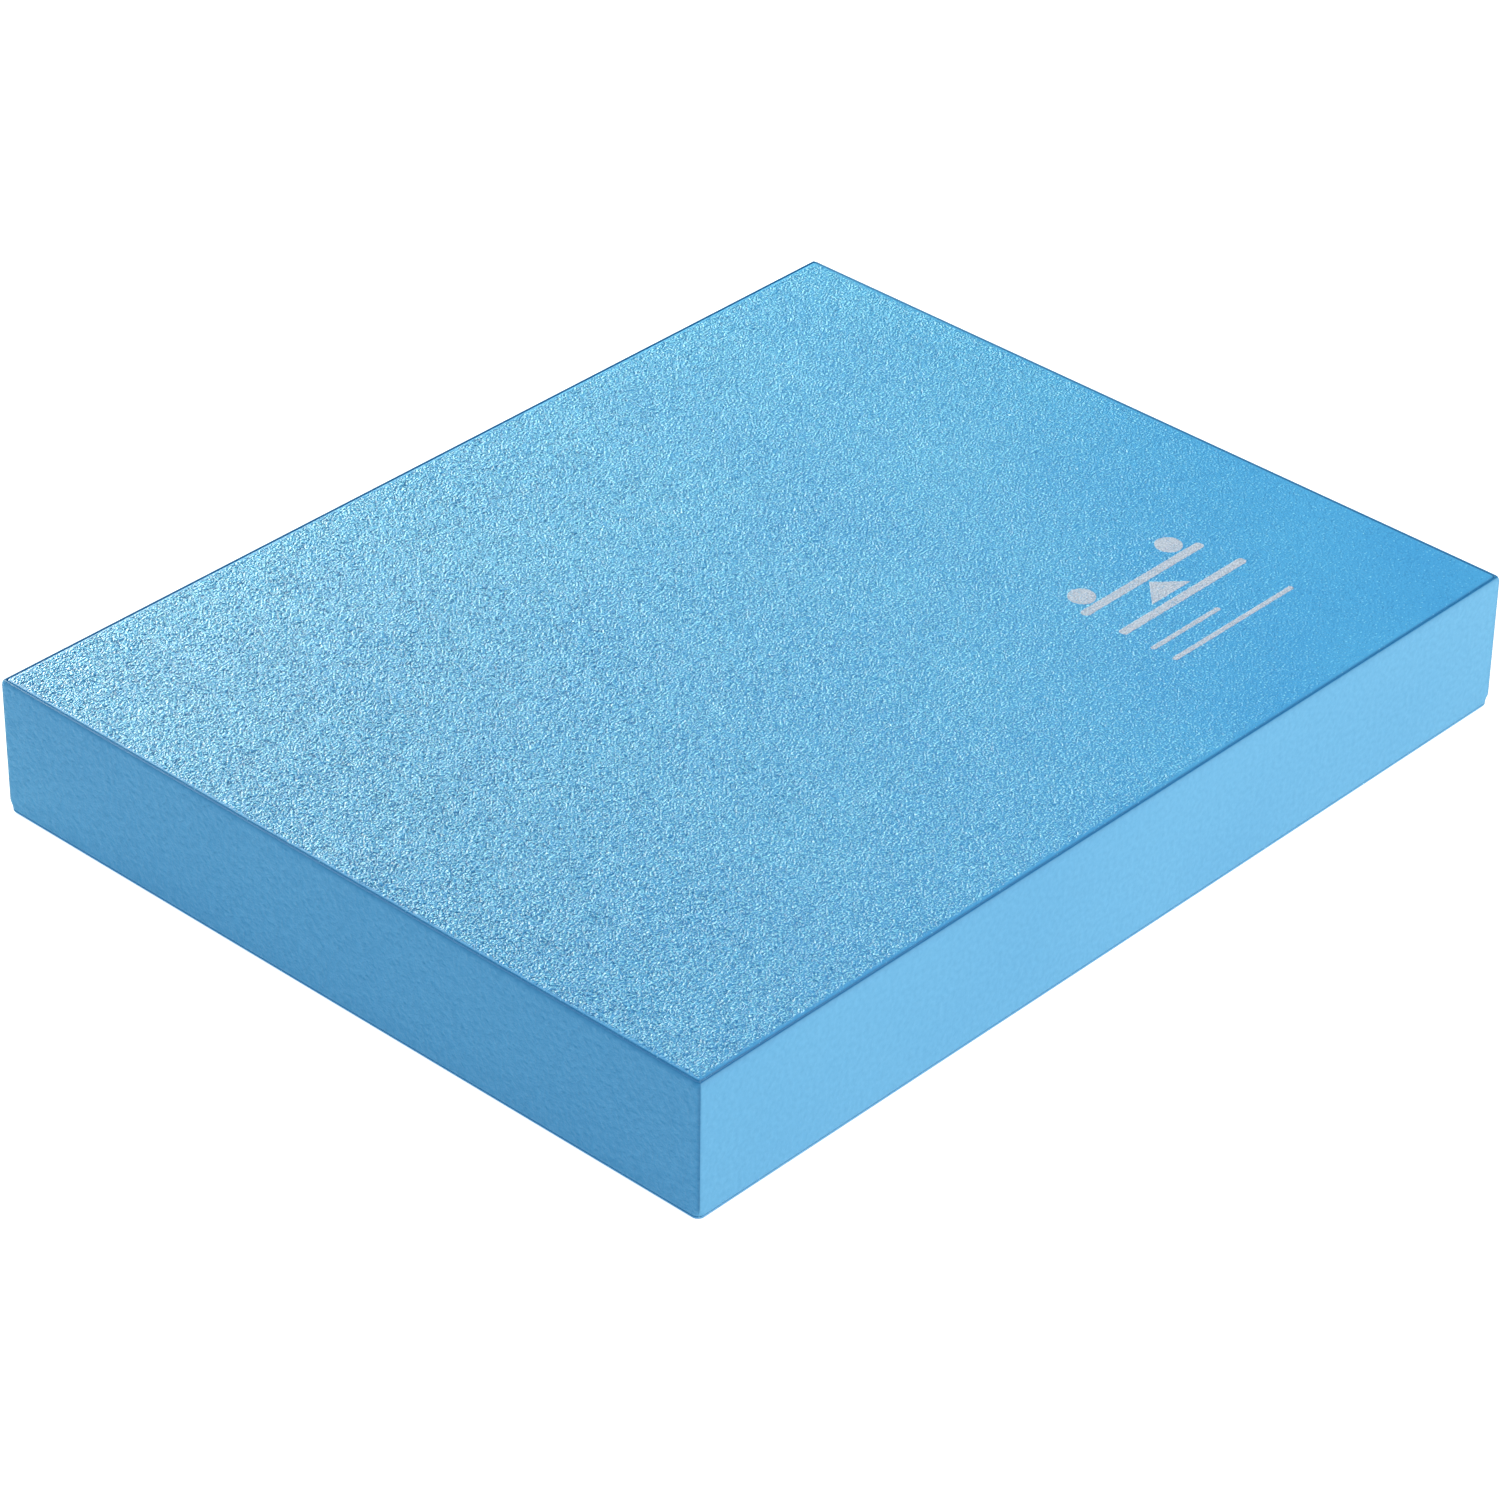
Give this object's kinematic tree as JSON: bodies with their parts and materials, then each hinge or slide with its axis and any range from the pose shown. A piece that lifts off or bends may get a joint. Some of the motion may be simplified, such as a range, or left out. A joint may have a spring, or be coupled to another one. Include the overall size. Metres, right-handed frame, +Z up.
{
  "type": "balance pad",
  "caption": "Thick rectangular foam pad with a grained top skin, smooth sides, crisp upright corners and a small stamped mark, for standing balance exercises.",
  "frame": {"origin": "centre of the underside, where the pad rests on the floor", "axes": "+Z up, +X along the pad's long side, +Y along its short side, away from the edge that the stamped mark is nearest to"},
  "size_m": [0.5, 0.4, 0.066],
  "materials": {
    "skin_top": "light blue foam skin, embossed pebble and leather grain, soft satin sheen",
    "skin_bottom": "light blue foam skin, the same grain as the top, satin",
    "skin_side": "light blue foam skin, smooth and matt with very fine mottling",
    "foam": "light blue closed-cell foam, fine open-looking cut cells, matt",
    "bond_film": "thin amber bonding film, satin",
    "ink": "pale grey stamped ink, matt, broken up by the grain under it"
  },
  "bodies": {
    "root": {"top_skin": "skin_top", "bottom_skin": "skin_bottom", "side_skin_front": "skin_side", "side_skin_right": "skin_side", "side_skin_back": "skin_side", "side_skin_left": "skin_side", "foam_slab_lower": "foam", "foam_slab_middle": "foam", "foam_slab_upper": "foam", "bond_film_lower": "bond_film", "bond_film_upper": "bond_film", "print_beam": "ink", "print_pivot": "ink", "print_disc_left": "ink", "print_disc_right": "ink", "print_line_wide": "ink", "print_line_short": "ink", "print_line_long": "ink"}
  },
  "joints": []
}
